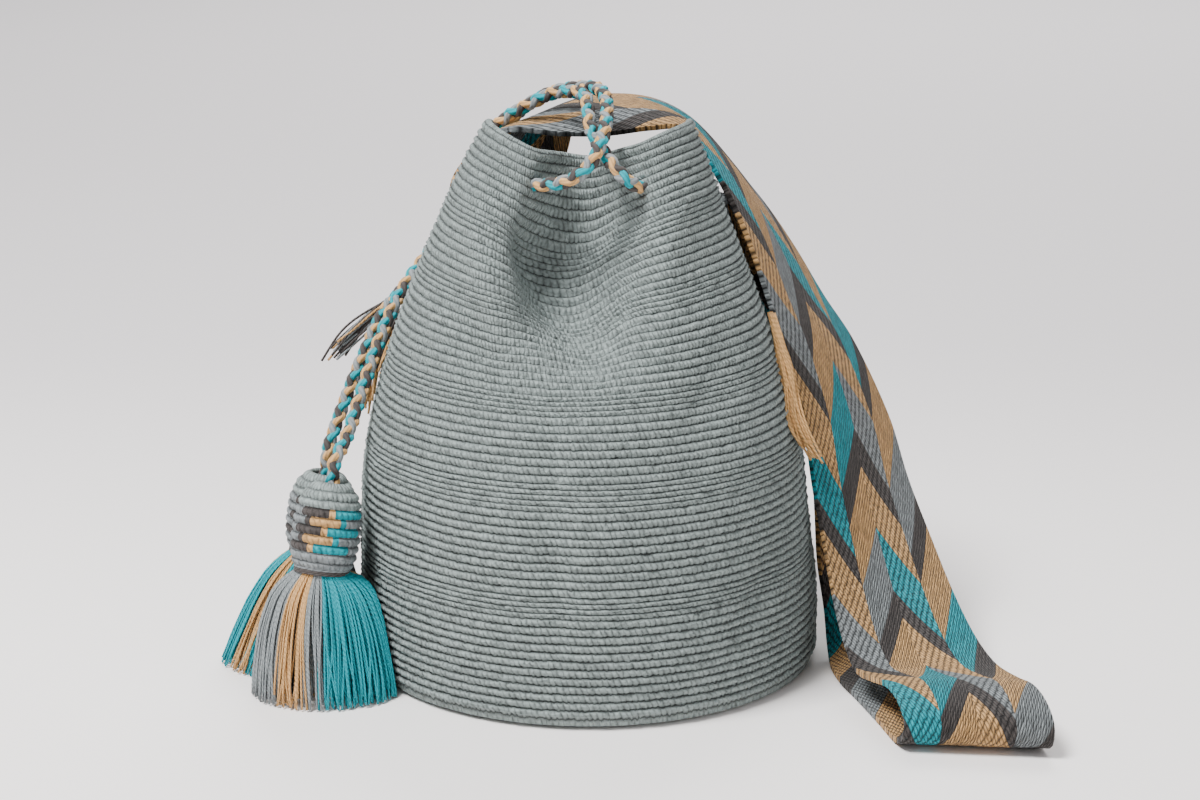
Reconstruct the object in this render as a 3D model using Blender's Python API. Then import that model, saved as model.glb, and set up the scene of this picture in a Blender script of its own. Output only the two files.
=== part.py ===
"""Crocheted drawstring bucket bag with a woven shoulder strap and two tassels.

The bag stands on its flat base: the origin is the base's centre, +Z is up,
+X runs to the side where the strap hangs, and the bag's front faces -Y.
All sizes are in metres.
"""

import math

import bmesh
import bpy
import numpy as np
from mathutils import Matrix, Vector

BAG_HEIGHT = 0.298
WALL = 0.0045
BASE_EDGE_HEIGHT = 0.007
BASE_EDGE_INSET = 0.006
# Height, half width in X, half depth in Y and sideways lean of the bag's section
BAG_SECTIONS = [
    (0.000, 0.1260, 0.1265, 0.0005),
    (0.040, 0.1262, 0.1260, 0.0000),
    (0.080, 0.1235, 0.1225, -0.0022),
    (0.120, 0.1195, 0.1165, -0.0032),
    (0.160, 0.1095, 0.1060, -0.0038),
    (0.200, 0.0965, 0.0920, -0.0036),
    (0.250, 0.0765, 0.0690, -0.0028),
    (0.298, 0.0550, 0.0450, 0.0005),
]
PLEAT_FROM = 0.150
PLEAT_DEPTH = 0.62
PLEAT_WIDTH = 0.34
FRONT_RIM_DROP = 0.018
BACK_RIM_DROP = 0.030
RIM_DROP_FROM = 0.130
BAG_SEGMENTS = 64
BAG_LEVELS = 15

CORD_DIAMETER = 0.0065
EYELET_RADIUS = 0.0052
HEAD_HOLE_RADIUS = 0.0043
CORD_POINT_SPACING = 0.0155

STRAP_WIDTH = 0.075
STRAP_THICKNESS = 0.0036
STRAP_LAYER = STRAP_THICKNESS + 0.0006
STRAP_STEP = 0.012
STRAP_CELLS = 6
LEFT_END_ANGLE = 126.0
RIGHT_END_ANGLE = 42.0
STRAP_END_HEIGHT = 0.206

SEAM_RADIUS = 0.0011
FRINGE_RADIUS = 0.0045

GAP = 0.0003
TASSEL_GAP = 0.0015
HEAD_RADIUS = 0.0185
HEAD_WALL = 0.0028

GREY_GREEN = (0.27, 0.30, 0.29)
WOVEN = (0.30, 0.24, 0.17)
BEIGE = (0.40, 0.26, 0.14)
DARK = (0.065, 0.055, 0.05)
TEAL = (0.015, 0.22, 0.28)
GREY = (0.23, 0.23, 0.22)


def clear_scene():
    for thing in list(bpy.data.objects):
        bpy.data.objects.remove(thing, do_unlink=True)


def yarn_material(name, colour):
    material = bpy.data.materials.new(name)
    material.use_nodes = True
    shader = material.node_tree.nodes["Principled BSDF"]
    shader.inputs["Base Color"].default_value = (*colour, 1.0)
    shader.inputs["Roughness"].default_value = 0.9
    shader.inputs["Metallic"].default_value = 0.0
    return material


def smooth_step(value, low, high):
    t = min(max((value - low) / (high - low), 0.0), 1.0)
    return t * t * (3.0 - 2.0 * t)


def section(height):
    """Half width, half depth and lean of the bag at a height, eased between the measured levels."""
    levels = [s[0] for s in BAG_SECTIONS]
    i = min(max(sum(h <= height for h in levels) - 1, 0), len(levels) - 2)
    before, after = BAG_SECTIONS[max(i - 1, 0)], BAG_SECTIONS[min(i + 2, len(levels) - 1)]
    low, high = BAG_SECTIONS[i], BAG_SECTIONS[i + 1]
    span = high[0] - low[0]
    t = (height - low[0]) / span
    values = []
    for k in (1, 2, 3):
        slope_low = (high[k] - before[k]) / (high[0] - before[0]) * span
        slope_high = (after[k] - low[k]) / (after[0] - low[0]) * span
        values.append(
            (2 * t**3 - 3 * t**2 + 1) * low[k]
            + (t**3 - 2 * t**2 + t) * slope_low
            + (3 * t**2 - 2 * t**3) * high[k]
            + (t**3 - t**2) * slope_high
        )
    return values


def bag_surface(angle, height):
    """The outer face of the bag. Angle is in radians from +X, and the front is at -90 degrees."""
    half_width, half_depth, lean = section(height)
    across, along = math.cos(angle), math.sin(angle)
    pleat = PLEAT_DEPTH * smooth_step(height, PLEAT_FROM, BAG_HEIGHT + 0.02)
    pulled = 1.0 - pleat * math.exp(-((across / PLEAT_WIDTH) ** 2))
    from_ear = 1.0 - abs(across)
    drop = FRONT_RIM_DROP * from_ear if along < 0 else BACK_RIM_DROP * math.sqrt(from_ear)
    drop *= smooth_step(height, RIM_DROP_FROM, BAG_HEIGHT)
    return Vector((lean + half_width * across, half_depth * along * pulled, height - drop))


def bag_normal(angle, height):
    step = 0.002
    round_way = bag_surface(angle + step, height) - bag_surface(angle - step, height)
    up_way = bag_surface(angle, height + step) - bag_surface(angle, height - step)
    return round_way.cross(up_way).normalized()


def bag_point(degrees, height, out=0.0):
    """A point beside the bag's wall, out being its distance from the outer face."""
    angle = math.radians(degrees)
    return bag_surface(angle, height) + bag_normal(angle, height) * out


def add_object(name, bm, material, smooth=True):
    bmesh.ops.recalc_face_normals(bm, faces=bm.faces)
    if bm.calc_volume(signed=True) < 0:
        bmesh.ops.reverse_faces(bm, faces=bm.faces)
    mesh = bpy.data.meshes.new(name)
    bm.to_mesh(mesh)
    bm.free()
    mesh.materials.append(material)
    if smooth:
        mesh.shade_smooth()
        mesh.set_sharp_from_angle(angle=math.radians(40))
    thing = bpy.data.objects.new(name, mesh)
    bpy.context.scene.collection.objects.link(thing)
    return thing


def bridge_rings(bm, rings):
    """Quads between rings of equally many vertices, each ring closed."""
    for lower, upper in zip(rings, rings[1:]):
        n = len(lower)
        for i in range(n):
            j = (i + 1) % n
            bm.faces.new((lower[i], lower[j], upper[j], upper[i]))


def lofted(rings_of_points, flat_section=False):
    """A closed solid through rings of points. Its ends are fans, or strips across a thin flat section."""
    bm = bmesh.new()
    rings = [[bm.verts.new(p) for p in ring] for ring in rings_of_points]
    bridge_rings(bm, rings)
    for ring in (rings[0], rings[-1]):
        count = len(ring)
        if flat_section:
            for i in range(count // 2 - 1):
                bm.faces.new((ring[i], ring[i + 1], ring[count - 2 - i], ring[count - 1 - i]))
        else:
            centre = bm.verts.new(sum((v.co for v in ring), Vector()) / count)
            for i, vertex in enumerate(ring):
                bm.faces.new((vertex, ring[(i + 1) % count], centre))
    return bm


def smooth_path(points, spacing):
    """Points at even spacing on a curve that passes through every given point."""
    points = [Vector(p) for p in points]
    padded = [points[0] * 2 - points[1], *points, points[-1] * 2 - points[-2]]
    dense = []
    for a, b, c, d in zip(padded, padded[1:], padded[2:], padded[3:]):
        near, far = max((c - b).length, 1e-6), 16
        m1 = (c - a) * near / ((b - a).length + near)
        m2 = (d - b) * near / ((d - c).length + near)
        for k in range(far):
            t = k / far
            dense.append(
                b * (2 * t**3 - 3 * t**2 + 1) + m1 * (t**3 - 2 * t**2 + t)
                + c * (3 * t**2 - 2 * t**3) + m2 * (t**3 - t**2)
            )
    dense.append(points[-1])
    lengths = np.cumsum([0.0] + [(q - p).length for p, q in zip(dense, dense[1:])])
    count = max(2, round(lengths[-1] / spacing) + 1)
    marks = np.linspace(0.0, lengths[-1], count)
    columns = [np.interp(marks, lengths, [p[k] for p in dense]) for k in range(3)]
    return [Vector(p) for p in zip(*columns)]


def tube(name, points, radius, material, resolution=2):
    """A round tube on a polyline, with filled ends."""
    curve = bpy.data.curves.new(name, "CURVE")
    curve.dimensions = "3D"
    curve.bevel_depth = radius
    curve.bevel_resolution = resolution
    curve.use_fill_caps = True
    spline = curve.splines.new("POLY")
    spline.points.add(len(points) - 1)
    for point, place in zip(spline.points, points):
        point.co = (*place, 1.0)
    curve.materials.append(material)
    thing = bpy.data.objects.new(name, curve)
    bpy.context.scene.collection.objects.link(thing)
    return thing


def bag_levels():
    """Heights of the wall's rings, from the rounded base edge to the rim."""
    climb = (BAG_HEIGHT - BASE_EDGE_HEIGHT) / (BAG_LEVELS - 1)
    return [BASE_EDGE_HEIGHT + climb * i for i in range(BAG_LEVELS)]


def bag_ring(height, out):
    return [
        bag_point(360.0 * i / BAG_SEGMENTS, height, out) for i in range(BAG_SEGMENTS)
    ]


def flat_ring(height, inset):
    """A level ring of the base, inset from the bag's outline."""
    half_width, half_depth, lean = section(0.0)
    ring = []
    for i in range(BAG_SEGMENTS):
        angle = 2.0 * math.pi * i / BAG_SEGMENTS
        x = lean + (half_width - inset) * math.cos(angle)
        ring.append(Vector((x, (half_depth - inset) * math.sin(angle), height)))
    return ring


def make_bag_body(cord_points, material):
    """Base and wall are crocheted in one piece: a thin shell, open at the top, with four eyelets."""
    edge = BASE_EDGE_INSET
    rings = [
        flat_ring(0.0, 0.07),
        flat_ring(0.0, edge),
        flat_ring(0.0022, edge * 0.3),
    ]
    rings += [bag_ring(h, 0.0) for h in bag_levels()]
    rings += [bag_ring(h, -WALL) for h in reversed(bag_levels())]
    rings[-1] = flat_ring(BASE_EDGE_HEIGHT + WALL, WALL)
    rings += [flat_ring(WALL, edge + WALL), flat_ring(WALL, 0.07)]
    body = add_object("bag_body", lofted(rings), material)
    for number, place in enumerate(eyelet_places()):
        cutter = eyelet_cutter(number, place, cord_points)
        cut = body.modifiers.new(cutter.name, "BOOLEAN")
        cut.operation = "DIFFERENCE"
        cut.solver = "EXACT"
        cut.object = cutter
    return body


def eyelet_places():
    """Where the cord crosses the wall: front left, front right, back right, back left."""
    return [
        Vector((-0.0220, -0.0432, 0.2705)), Vector((0.0275, -0.0445, 0.2695)),
        Vector((0.0272, 0.0385, 0.2670)), Vector((-0.0278, 0.0385, 0.2670)),
    ]


def eyelet_cutter(number, place, cord_points):
    """A short rod along the cord where it passes through the wall."""
    nearest = min(range(1, len(cord_points) - 1), key=lambda i: (cord_points[i] - place).length)
    way = (cord_points[nearest + 1] - cord_points[nearest - 1]).normalized()
    bm = bmesh.new()
    turn = way.to_track_quat("Z", "Y").to_matrix().to_4x4()
    bmesh.ops.create_cone(
        bm, cap_ends=True, segments=12, radius1=EYELET_RADIUS, radius2=EYELET_RADIUS,
        depth=0.022, matrix=Matrix.Translation(place) @ turn,
    )
    mesh = bpy.data.meshes.new(f"eyelet_{number}")
    bm.to_mesh(mesh)
    bm.free()
    cutter = bpy.data.objects.new(f"eyelet_{number}", mesh)
    bpy.context.scene.collection.objects.link(cutter)
    cutter.hide_render = True
    cutter.display_type = "WIRE"
    return cutter


def drawstring_route():
    """From the rear tassel over the mouth, round the neck through four eyelets, and back to the front tassel."""
    front_left, front_right, back_right, back_left = eyelet_places()
    over_strap = GAP + STRAP_LAYER + CORD_DIAMETER / 2 + 0.0016
    rear_way, front_way = head_frame(REAR_HEAD)[0], head_frame(FRONT_HEAD)[0]
    rear_fall = [
        REAR_HEAD[0] - rear_way * 0.006, REAR_HEAD[0] + rear_way * 0.004, REAR_HEAD[0] + rear_way * 0.012,
        (-0.1345, 0.0010, 0.1420), (-0.1240, 0.0110, 0.1670), (-0.1120, 0.0240, 0.1900),
        bag_point(143.0, 0.2200, over_strap + 0.0022), bag_point(133.0, 0.2480, over_strap + 0.0034),
    ]
    over_left = [
        (-0.0535, 0.0590, 0.2750), (-0.0460, 0.0550, 0.2870), (-0.0350, 0.0520, 0.2980),
        (-0.0215, 0.0475, 0.3060), (-0.0075, 0.0365, 0.3105), (0.0045, 0.0180, 0.3125),
        (0.0092, -0.0020, 0.3095), (0.0095, -0.0200, 0.3035), (0.0080, -0.0360, 0.2965),
        (0.0045, -0.0475, 0.2885), (-0.0015, -0.0535, 0.2805), (-0.0100, -0.0530, 0.2745),
    ]
    inside_left = [
        (-0.0340, -0.0315, 0.2690), (-0.0475, -0.0205, 0.2710), (-0.0525, -0.0020, 0.2720),
        (-0.0485, 0.0175, 0.2705), (-0.0350, 0.0280, 0.2680),
    ]
    across_back = [(-0.0110, 0.0475, 0.2665), (0.0000, 0.0485, 0.2665), (0.0110, 0.0475, 0.2665)]
    inside_right = [
        (0.0345, 0.0275, 0.2680), (0.0475, 0.0175, 0.2705), (0.0525, -0.0020, 0.2720),
        (0.0480, -0.0190, 0.2710), (0.0375, -0.0325, 0.2690),
    ]
    over_right = [
        (0.0190, -0.0525, 0.2755), (0.0130, -0.0490, 0.2815), (0.0085, -0.0400, 0.2860),
        (0.0045, -0.0310, 0.2910), (0.0010, -0.0220, 0.2975), (-0.0005, -0.0080, 0.3050),
        (-0.0025, 0.0070, 0.3100), (-0.0095, 0.0200, 0.3105), (-0.0200, 0.0300, 0.3080),
        (-0.0325, 0.0355, 0.3015), (-0.0450, 0.0420, 0.2935), (-0.0560, 0.0475, 0.2820),
    ]
    front_fall = [
        (-0.0680, 0.0500, 0.2620), bag_point(147.0, 0.2300, over_strap + 0.0030),
        (-0.1035, 0.0190, 0.2000), (-0.1140, 0.0005, 0.1780), (-0.1225, -0.0175, 0.1540),
        (-0.1300, -0.0360, 0.1320), FRONT_HEAD[0] + front_way * 0.010,
        FRONT_HEAD[0] + front_way * 0.003, FRONT_HEAD[0] - front_way * 0.006,
    ]
    return [
        *rear_fall, *over_left, front_left, *inside_left, back_left, *across_back, back_right,
        *inside_right, front_right, *over_right, *front_fall,
    ]


# Top and bottom of each tassel head's axis
FRONT_HEAD = (Vector((-0.1365, -0.0500, 0.1125)), Vector((-0.1425, -0.0600, 0.0665)))
REAR_HEAD = (Vector((-0.1440, -0.0150, 0.1080)), Vector((-0.1500, -0.0175, 0.0640)))


def on_wall(degrees, height, out):
    """Points across the strap where it lies on the bag's wall, from its front edge to its back edge."""
    towards_back = -1.0 if degrees > 90 else 1.0
    cell = STRAP_WIDTH / STRAP_CELLS
    halves = []
    for way in (-towards_back, towards_back):
        turn, side = degrees, []
        for _ in range(STRAP_CELLS // 2):
            reach = (bag_point(turn + way, height, out) - bag_point(turn, height, out)).length
            turn += way * cell / reach
            side.append(bag_point(turn, height, out))
        halves.append(side)
    return halves[0][::-1] + [bag_point(degrees, height, out)] + halves[1]


def in_air(centre, across, outward, crown):
    """Points across the strap where it hangs free, its edges bent back from outward by the crown."""
    across, outward = Vector(across).normalized(), Vector(outward)
    outward = (outward - across * outward.dot(across)).normalized()
    row = []
    for k in range(STRAP_CELLS + 1):
        u = k / STRAP_CELLS - 0.5
        row.append(Vector(centre) + across * (u * STRAP_WIDTH) - outward * (crown * (2 * u) ** 2))
    return row


def strap_rows():
    """Rows of points across the strap's middle surface, along its whole length.

    The strap starts at its left sewn end, crosses the mouth, falls down the right side to a
    hairpin on the floor, and climbs behind itself to its right sewn end.
    """
    under = GAP + STRAP_THICKNESS / 2 + 0.0013
    over = under + STRAP_LAYER + 0.0022
    left, right = LEFT_END_ANGLE, RIGHT_END_ANGLE
    down, up, side = (0, 0, -1), (0, 0, 1), (1.0, -0.6, 0.35)
    rows = [on_wall(left, h, under) for h in (STRAP_END_HEIGHT, 0.218, 0.230, 0.242)]
    rows += [
        in_air((-0.0480, 0.0590, 0.2620), (0.80, 0.60, 0.00), (-0.50, 0.70, 0.40), 0.0060),
        in_air((-0.0400, 0.0610, 0.2770), (0.70, 0.71, 0.00), (-0.45, 0.55, 0.60), 0.0040),
        in_air((-0.0290, 0.0610, 0.2900), (0.50, 0.87, 0.00), (-0.40, 0.30, 0.85), 0.0020),
        in_air((-0.0140, 0.0600, 0.2965), (0.15, 0.99, 0.05), (-0.30, 0.00, 0.95), 0.0080),
        in_air((0.0080, 0.0605, 0.3005), (-0.03, 1.00, 0.09), up, 0.0105),
        in_air((0.0350, 0.0635, 0.2985), (0.00, 1.00, 0.03), (0.20, 0.00, 1.00), 0.0080),
        in_air((0.0560, 0.0640, 0.2885), (0.08, 0.99, -0.10), (0.60, 0.00, 0.80), 0.0040),
        in_air((0.0775, 0.0570, 0.2665), (0.17, 0.97, -0.14), (0.75, -0.10, 0.60), 0.0040),
        in_air((0.0940, 0.0475, 0.2430), (0.27, 0.95, -0.15), side, 0.0030),
        in_air((0.1075, 0.0400, 0.2200), (0.36, 0.92, -0.15), side, 0.0030),
        in_air((0.1200, 0.0330, 0.1940), (0.46, 0.87, -0.16), side, 0.0030),
        in_air((0.1310, 0.0260, 0.1700), (0.57, 0.80, -0.16), side, 0.0030),
        in_air((0.1460, 0.0180, 0.1280), (0.69, 0.71, -0.16), side, 0.0020),
        in_air((0.1550, 0.0050, 0.0960), (0.76, 0.63, -0.16), (1.0, -1.0, 0.2), 0.0010),
        in_air((0.1630, -0.0150, 0.0670), (0.84, 0.52, -0.14), (0.6, -1.0, 0.3), 0.0000),
        in_air((0.1695, -0.0390, 0.0430), (0.91, 0.40, -0.10), (0.3, -1.0, 0.6), 0.0000),
        in_air((0.1750, -0.0640, 0.0265), (0.96, 0.26, -0.05), (0.1, -0.8, 0.8), 0.0000),
        in_air((0.1800, -0.0860, 0.0195), (0.99, 0.10, 0.00), (0.0, -0.2, 1.0), 0.0000),
        in_air((0.1855, -0.1060, 0.0220), (1.00, 0.00, 0.00), (0.0, 0.1, 1.0), 0.0010),
        in_air((0.1905, -0.1270, 0.0268), (1.00, -0.05, 0.00), (0.0, 0.1, 1.0), 0.0015),
        in_air((0.1940, -0.1450, 0.0248), (1.00, -0.09, 0.00), (0.0, -0.3, 0.9), 0.0010),
        in_air((0.1962, -0.1580, 0.0170), (1.00, -0.10, 0.00), (0.0, -1.0, 0.3), 0.0000),
        in_air((0.1955, -0.1580, 0.0078), (1.00, -0.10, 0.00), (0.0, -1.0, -0.5), 0.0000),
        in_air((0.1930, -0.1440, 0.0022), (1.00, -0.07, 0.00), down, 0.0000),
        in_air((0.1870, -0.1150, 0.0021), (1.00, -0.04, 0.00), down, 0.0000),
        in_air((0.1800, -0.0850, 0.0021), (1.00, 0.00, 0.00), down, 0.0000),
        in_air((0.1730, -0.0550, 0.0021), (1.00, 0.10, 0.00), down, 0.0000),
        in_air((0.1690, -0.0250, 0.0022), (0.96, 0.26, 0.00), down, 0.0000),
        in_air((0.1670, -0.0030, 0.0070), (0.91, 0.40, 0.00), (0.0, 0.4, -1.0), 0.0000),
        in_air((0.1640, 0.0120, 0.0230), (0.86, 0.50, -0.05), (-0.4, 1.0, -0.5), 0.0000),
        in_air((0.1590, 0.0200, 0.0470), (0.78, 0.62, -0.10), (-0.6, 1.0, -0.2), 0.0000),
        in_air((0.1520, 0.0300, 0.0780), (0.64, 0.76, -0.10), (-0.8, 0.8, -0.2), 0.0010),
        in_air((0.1390, 0.0430, 0.1110), (0.38, 0.92, -0.10), (-1.0, 0.5, -0.3), 0.0015),
        in_air((0.1190, 0.0560, 0.1440), (0.00, 1.00, -0.08), (-1.0, 0.0, -0.4), 0.0005),
        in_air((0.0980, 0.0630, 0.1740), (-0.35, 0.93, -0.05), (-1.0, -0.5, -0.4), -0.0030),
    ]
    rows += [on_wall(right, h, over) for h in (0.206, 0.222, 0.238, 0.250)]
    rows += [on_wall(right, 0.2580, (under + over) / 2)]
    rows += [on_wall(right, h, under) for h in (0.250, 0.238, 0.222, STRAP_END_HEIGHT)]
    return rows


def smooth_rows(rows, spacing):
    """More rows between the given ones, each column of points on its own smooth curve."""
    rows = [[a * 2 - b for a, b in zip(rows[0], rows[1])], *rows, [a * 2 - b for a, b in zip(rows[-1], rows[-2])]]
    middle = len(rows[0]) // 2
    finer = []
    for before, low, high, after in zip(rows, rows[1:], rows[2:], rows[3:]):
        near, span, far = ((q[middle] - p[middle]).length for p, q in ((before, low), (low, high), (high, after)))
        count = max(1, round(span / spacing))
        for k in range(count):
            t = k / count
            row = []
            for a, b, c, d in zip(before, low, high, after):
                slope_low, slope_high = (c - a) * span / (near + span), (d - b) * span / (span + far)
                row.append(
                    b * (2 * t**3 - 3 * t**2 + 1) + slope_low * (t**3 - 2 * t**2 + t)
                    + c * (3 * t**2 - 2 * t**3) + slope_high * (t**3 - t**2)
                )
            finer.append(row)
    return [*finer, rows[-2]]


def grid_normals(rows):
    """The outward direction at each point of the strap's middle surface."""
    normals = []
    for i, row in enumerate(rows):
        ahead, behind = rows[min(i + 1, len(rows) - 1)], rows[max(i - 1, 0)]
        line = []
        for k in range(len(row)):
            across = row[min(k + 1, len(row) - 1)] - row[max(k - 1, 0)]
            line.append((ahead[k] - behind[k]).cross(across).normalized())
        normals.append(line)
    return normals


def make_strap(material):
    """One woven band of even thickness along its rows."""
    rows = smooth_rows(strap_rows(), STRAP_STEP)
    lowest = STRAP_THICKNESS / 2 + 0.0002
    for row in rows:
        for point in row:
            point.z = max(point.z, lowest)
    rings = []
    for row, normals in zip(rows, grid_normals(rows)):
        outer = [p + n * (STRAP_THICKNESS / 2) for p, n in zip(row, normals)]
        inner = [p - n * (STRAP_THICKNESS / 2) for p, n in zip(row, normals)]
        rings.append(outer + inner[::-1])
    return add_object("shoulder_strap", lofted(rings, flat_section=True), material)


def seam_route(degrees, out):
    """Down one edge of a sewn strap end, round its foot and up the other edge."""
    half_turn = math.degrees((STRAP_WIDTH / 2 + 0.0055) / (section(0.23)[0] + out))
    foot = STRAP_END_HEIGHT - 0.0030
    sides = [(-half_turn * 1.06, 0.240), (-half_turn, 0.222), (-half_turn * 0.96, foot + 0.004)]
    bottom = [(-half_turn * 0.85, foot), (0.0, foot), (half_turn * 0.85, foot)]
    turns = sides + bottom + [(-a, h) for a, h in reversed(sides)]
    return [bag_point(degrees + a, h, out) for a, h in turns]


def make_seams(material):
    """The stitched yarn that joins each strap end to the wall."""
    out = SEAM_RADIUS + GAP + 0.0022
    for name, degrees in (("strap_seam_left", LEFT_END_ANGLE), ("strap_seam_right", RIGHT_END_ANGLE)):
        tube(name, smooth_path(seam_route(degrees, out), 0.007), SEAM_RADIUS, material)


def tapered_bundle(name, points, radii, material):
    """A solid bundle of yarn ends, round in section, with its own radius at each point."""
    path = smooth_path(points, 0.008)
    rings = []
    for i, place in enumerate(path):
        along = (path[min(i + 1, len(path) - 1)] - path[max(i - 1, 0)]).normalized()
        side = along.cross(Vector((0.3, -1.0, 0.2))).normalized()
        other = along.cross(side).normalized()
        radius = float(np.interp(i / (len(path) - 1), np.linspace(0, 1, len(radii)), radii))
        ring = []
        for k in range(10):
            turn = 2.0 * math.pi * k / 10
            ring.append(place + side * (radius * math.cos(turn)) + other * (radius * math.sin(turn)))
        rings.append(ring)
    return add_object(name, lofted(rings), material)


def make_fringes(left_material, right_material):
    """Loose warp ends of the strap, hanging below each sewn end."""
    left = [
        bag_point(158.0, 0.1960, 0.0040), bag_point(160.0, 0.1820, 0.0055),
        bag_point(163.0, 0.1640, 0.0060), bag_point(166.0, 0.1450, 0.0060),
    ]
    tapered_bundle("strap_fringe_left", left, (0.0026, 0.0035, 0.0040, 0.0030), left_material)
    right = [
        bag_point(-2.0, 0.1920, 0.0032), bag_point(-7.0, 0.1790, 0.0034),
        bag_point(-10.0, 0.1620, 0.0036), bag_point(-14.0, 0.1370, 0.0040), (0.1255, -0.0290, 0.1130),
    ]
    tapered_bundle("strap_fringe_right", right, (0.0020, 0.0024, 0.0026, 0.0026, 0.0018), right_material)


def head_frame(head):
    top, bottom = head
    axis = (top - bottom).normalized()
    side = axis.cross(Vector((0.0, 1.0, 0.0))).normalized()
    return axis, side, axis.cross(side).normalized()


def turned_ring(head, along, radius, segments=20):
    """A ring round a tassel's axis, along being 0 at the head's foot and 1 at its top."""
    top, bottom = head
    axis, side, other = head_frame(head)
    centre = bottom + (top - bottom) * along
    ring = []
    for k in range(segments):
        turn = 2.0 * math.pi * k / segments
        ring.append(centre + side * (radius * math.cos(turn)) + other * (radius * math.sin(turn)))
    return ring


# Along the head from foot to top: share of the height, outer radius as a share of HEAD_RADIUS
HEAD_PROFILE = [(0.0, 0.80), (0.10, 0.94), (0.35, 1.0), (0.62, 0.98), (0.82, 0.84), (0.94, 0.62), (1.0, 0.34)]


def make_tassel_head(name, head, material):
    """A crocheted cover, open below round the skirt and with a hole for the cord on top."""
    outer = [turned_ring(head, a, HEAD_RADIUS * r) for a, r in HEAD_PROFILE]
    inner = [
        turned_ring(head, min(a, 0.93), max(HEAD_RADIUS * r - HEAD_WALL, HEAD_HOLE_RADIUS))
        for a, r in reversed(HEAD_PROFILE)
    ]
    bm = bmesh.new()
    rings = [[bm.verts.new(p) for p in ring] for ring in outer + inner]
    bridge_rings(bm, rings + [rings[0]])
    return add_object(name, bm, material)


def keep_clear(point, height, front_side):
    """Moves a skirt point out of the bag's wall and off the other tassel's side of the fan."""
    x, y = point
    reach = section(max(height, 0.0))[0] + TASSEL_GAP + 0.001
    distance = math.hypot(x, y)
    if distance < reach:
        x, y = x * reach / distance, y * reach / distance
    divide = -0.0345 + 0.20 * (x + 0.140) - 0.010 * (1.0 - height / 0.10)
    if front_side:
        y = min(y, divide - TASSEL_GAP / 2)
    else:
        y = max(y, divide + TASSEL_GAP / 2)
    return x, y


def make_tassel_skirt(name, head, foot, spread, front_side, material):
    """The fan of cut yarn: its folded top sits in the head, and its ends rest on the floor."""
    top, bottom = head
    inside = HEAD_RADIUS * 0.80 - HEAD_WALL - GAP * 2
    rings = [turned_ring(head, 0.72, inside * 0.45), turned_ring(head, 0.60, inside * 0.85)]
    rings += [turned_ring(head, 0.30, inside), turned_ring(head, -0.02, inside)]
    shares = (0.16, 0.32, 0.50, 0.68, 0.84, 0.95, 1.0)
    flare = (0.42, 0.58, 0.74, 0.88, 0.97, 1.0, 0.97)
    for share, wide in zip(shares, flare):
        height = bottom.z * (1.0 - share)
        centre = bottom.lerp(Vector(foot), share)
        rings.append([])
        for k in range(20):
            turn = 2.0 * math.pi * k / 20
            axis, side, other = head_frame(head)
            way = side * math.cos(turn) + other * math.sin(turn)
            flat = Vector((way.x, way.y)).normalized()
            reach_x, reach_y = spread[0] * wide, spread[1] * wide
            x, y = centre.x + flat.x * reach_x, centre.y + flat.y * reach_y
            x, y = keep_clear((x, y), height, front_side)
            rings[-1].append(Vector((x, y, height)))
    return add_object(name, lofted(rings), material)


def make_tassels():
    head_yarn = yarn_material("crocheted_head_yarn", GREY)
    skirt_yarn = yarn_material("tassel_yarn", TEAL)
    fans = (
        ("front_tassel", FRONT_HEAD, (-0.1405, -0.0690, 0.0), (0.040, 0.031), True),
        ("rear_tassel", REAR_HEAD, (-0.1690, -0.0190, 0.0), (0.035, 0.033), False),
    )
    for name, head, foot, spread, front_side in fans:
        make_tassel_head(f"{name}_head", head, head_yarn)
        make_tassel_skirt(f"{name}_skirt", head, foot, spread, front_side, skirt_yarn)


def main():
    clear_scene()
    body_yarn = yarn_material("crocheted_cotton", GREY_GREEN)
    strap_yarn = yarn_material("woven_strap_cotton", WOVEN)
    cord_yarn = yarn_material("braided_cotton", TEAL)
    cord_points = smooth_path(drawstring_route(), CORD_POINT_SPACING)
    tube("drawstring", cord_points, CORD_DIAMETER / 2, cord_yarn)
    make_bag_body(cord_points, body_yarn)
    make_strap(strap_yarn)
    make_seams(body_yarn)
    make_fringes(yarn_material("dark_warp_yarn", DARK), yarn_material("beige_warp_yarn", BEIGE))
    make_tassels()


main()
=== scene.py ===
import math
import random

import bpy
import numpy as np
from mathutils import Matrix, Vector


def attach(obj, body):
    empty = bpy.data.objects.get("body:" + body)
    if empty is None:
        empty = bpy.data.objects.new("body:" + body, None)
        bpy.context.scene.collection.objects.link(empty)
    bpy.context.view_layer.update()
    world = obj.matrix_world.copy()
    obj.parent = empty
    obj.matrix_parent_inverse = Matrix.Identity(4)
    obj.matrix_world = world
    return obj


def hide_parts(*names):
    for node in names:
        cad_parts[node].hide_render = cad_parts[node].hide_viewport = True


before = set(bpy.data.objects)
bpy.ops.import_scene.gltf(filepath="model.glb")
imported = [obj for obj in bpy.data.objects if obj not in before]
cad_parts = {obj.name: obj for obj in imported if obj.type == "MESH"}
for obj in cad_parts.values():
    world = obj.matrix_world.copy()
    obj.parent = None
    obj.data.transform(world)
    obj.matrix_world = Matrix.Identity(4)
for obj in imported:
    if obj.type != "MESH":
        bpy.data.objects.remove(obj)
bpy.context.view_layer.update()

# dyed cotton yarn: greyGreen is the body, the other four are the strap, the cord and the tassels
yarnDyes = {
    "greyGreen": "#8a9593",
    "teal": "#04939f",
    "beige": "#c59a65",
    "dark": "#45403e",
    "grey": "#82888a",
}
randomYarn = random.Random(7)


def linear(hexColour):
    values = [int(hexColour[i:i + 2], 16) / 255 for i in (1, 3, 5)]
    return [v / 12.92 if v <= 0.04045 else ((v + 0.055) / 1.055) ** 2.4 for v in values]


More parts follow.
